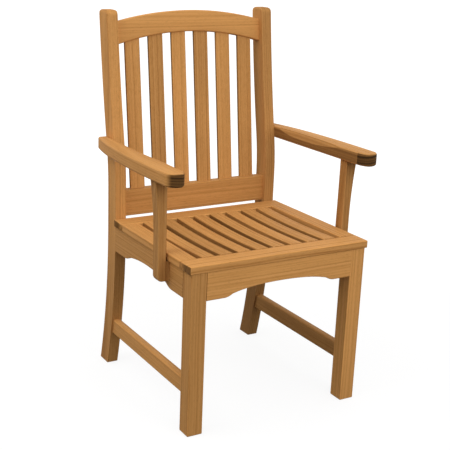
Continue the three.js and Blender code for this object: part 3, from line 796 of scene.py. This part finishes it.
seat_slat_count = 8
seat_top = 0.440
seat_slat_thickness = 0.0195
front_board_rear = 0.051 + seat_front_edge
first_slat, second_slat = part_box("seat_slat_1"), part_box("seat_slat_2")
seat_slat_width = first_slat[1][0] - first_slat[0][0]
seat_slat_pitch = second_slat[0][0] - first_slat[0][0]
first_seat_slat_middle = first_slat[0][0] + seat_slat_width / 2
dished_form, size = new_form(
    "dished_slats_form",
    [
        ("Count", "Int"),
        ("First", "Vector"),
        ("Pitch", "Float"),
        ("Width", "Float"),
        ("Thickness", "Float"),
        ("Length", "Float"),
        ("Dip", "Float"),
        ("Arris", "Float"),
    ],
)
run = combined(dished_form, y=size["Length"])
flat = rounded_bar(dished_form, size["Width"], size["Thickness"], run, size["Arris"], steps=33)
share = number(dished_form, "DIVIDE", own_places(dished_form)[1], size["Length"])
rest = number(dished_form, "SUBTRACT", 1.0, share)
deepest_share = number(dished_form, "MULTIPLY", share, rest)  # a quarter at mid length
dip = number(dished_form, "MULTIPLY", deepest_share, number(dished_form, "MULTIPLY", size["Dip"], -4.0))
dipped = bent_form(dished_form, flat, combined(dished_form, z=dip))
# The walls of the slots between the seat slats get painted shade through Soak And Shade; end_tone sets
# how dark it is.
seat_slat_teak = teak_finish(
    "teak_seat_slats",
    deep_grain,
    (-0.60, 0.0, 0.30),
    "slat_board",
    "slat_tone",
    end_tone=0.66,
    figure=1.3,
    soak_and_shade=painted_shade_on_slat_sides,
)
end_form(
    dished_form,
    row_of(dished_form, dipped, size["Count"], size["First"], size["Pitch"]),
    seat_slat_teak,
)
seat_slats = grown_piece(
    "seat_slats",
    dished_form,
    {
        "Count": seat_slat_count,
        "First": (first_seat_slat_middle, front_board_rear, seat_top - seat_slat_thickness / 2),
        "Pitch": seat_slat_pitch,
        "Width": seat_slat_width,
        "Thickness": seat_slat_thickness,
        "Length": 0.3195,
        "Dip": 0.0046,
        "Arris": 0.0028,
    },
    "teak_slats",
    *[f"seat_slat_{i}" for i in range(1, seat_slat_count + 1)],
)
tone_slats(seat_slats, first_board=30.0, tones=[1.0, 0.93, 1.04, 0.97, 0.95, 1.03, 0.92, 1.0])

# ---------------------------------------------------------------------------------------------
# The arm supports. Two short shaped uprights of teak, lapped on the side aprons and screwed from
# inside, flaring outwards to carry the arms on a stub tenon.

for side, heart, board, tone in [
    ("left", (-0.40, -0.10, 0.0), 17.0, 0.74),
    ("right", (0.40, -0.10, 0.0), 18.0, 0.73),
]:
    support_teak = teak_finish(
        "teak_support_" + side, upright_grain, heart, board, tone, figure=1.4, waver=0.025
    )
    eased_piece("arm_support_" + side, support_teak, "teak", easing=0.0025)

# ---------------------------------------------------------------------------------------------
# The arms. Two broad teak arms outside the posts, 33 mm thick, widest at mid length and rounded in
# front, with a hollow cut along the inner top edge. Two dowels hold each one to its post.


def soaked_end(tree, place, facing):
    """The arm's front end, where the open grain drank the oil. It starts at once on the inner side,
    fades in round the outer curve and leaves the arm's flat top and underside pale. The upright
    inner side below the hollow is also made darker, half as dark as the end, and the hollow a little."""
    inner_side, outer_side = 0.2515, 0.3015  # how far out these lie
    inner_start, outer_start = -0.2035, -0.2170  # how far ahead the dark wood starts on each
    inner_full, outer_full = -0.2065, -0.2390  # and where it is as dark as it gets
    inner_side_share, hollow_share = 0.6, 0.22
    spot = add_node(tree, "ShaderNodeSeparateXYZ", {0: place}).outputs
    way = add_node(tree, "ShaderNodeSeparateXYZ", {0: facing}).outputs
    outward = stepped(tree, number(tree, "ABSOLUTE", spot[0]), inner_side, outer_side, kind="LINEAR")
    starts = mixed(tree, outward, inner_start, outer_start)
    full = mixed(tree, outward, inner_full, outer_full)
    on_end = stepped(tree, spot[1], starts, full)
    off_level = stepped(tree, number(tree, "ABSOLUTE", way[2]), 0.5, 0.8, 1.0, 0.0)
    turned_out = number(tree, "MULTIPLY", way[0], number(tree, "SIGN", spot[0]))
    inner_side_darkening = stepped(tree, turned_out, -0.98, -0.93, inner_side_share, 0.0)
    hollow = stepped(tree, turned_out, -0.88, -0.70, hollow_share, 0.0)
    inner = number(tree, "MAXIMUM", inner_side_darkening, hollow)
    return number(tree, "MAXIMUM", number(tree, "MULTIPLY", on_end, off_level), inner)


for side, heart, board in [("left", (-0.30, 0.0, 0.40), 19.0), ("right", (0.30, 0.0, 0.40), 41.0)]:
    arm_teak = teak_finish(
        "teak_arm_" + side, deep_grain, heart, board, 0.99, end_tone=0.2, late=4.5, soak_and_shade=soaked_end
    )
    eased_piece("arm_" + side, arm_teak, "teak", easing=0.0015, steps=2, crease=20)

# ---------------------------------------------------------------------------------------------
# Dowels and screws. Plain hardwood dowels hold the boards and the arms, out of sight in their
# holes. Stainless wood screws hold the supports; only their heads show, inside the aprons.

dowel_finish = teak_finish(
    "pale_dowel_wood", upright_grain, (0.0, 0.0, 0.0), 50.0, 1.25, end_tone=0.9, figure=0.6
)
screw_finish = bpy.data.materials.new("stainless_screw")
screw_finish.use_nodes = True
metal = screw_finish.node_tree
metal_shader = metal.nodes["Principled BSDF"]
metal_shader.inputs["Metallic"].default_value = 1.0
metal_place = add_node(metal, "ShaderNodeTexCoord").outputs["Object"]
scratch_settings = {"Vector": metal_place, "Scale": 2600.0, "Detail": 3.0}
scratches = add_node(metal, "ShaderNodeTexNoise", scratch_settings).outputs[0]
sheen = add_node(metal, "ShaderNodeValToRGB", {"Fac": scratches})
sheen.color_ramp.elements[0].color = (0.42, 0.43, 0.43, 1)
sheen.color_ramp.elements[1].color = (0.62, 0.63, 0.62, 1)
metal.links.new(sheen.outputs[0], metal_shader.inputs["Base Color"])
smooth_roughness, scratch_roughness = 0.2, 0.3
metal_rough = number(metal, "MULTIPLY_ADD", scratches, scratch_roughness, smooth_roughness)
metal.links.new(metal_rough, metal_shader.inputs["Roughness"])
for node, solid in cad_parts.items():
    if "dowel" in node or "screw" in node:
        solid.data.materials.clear()
        solid.data.materials.append(dowel_finish if "dowel" in node else screw_finish)
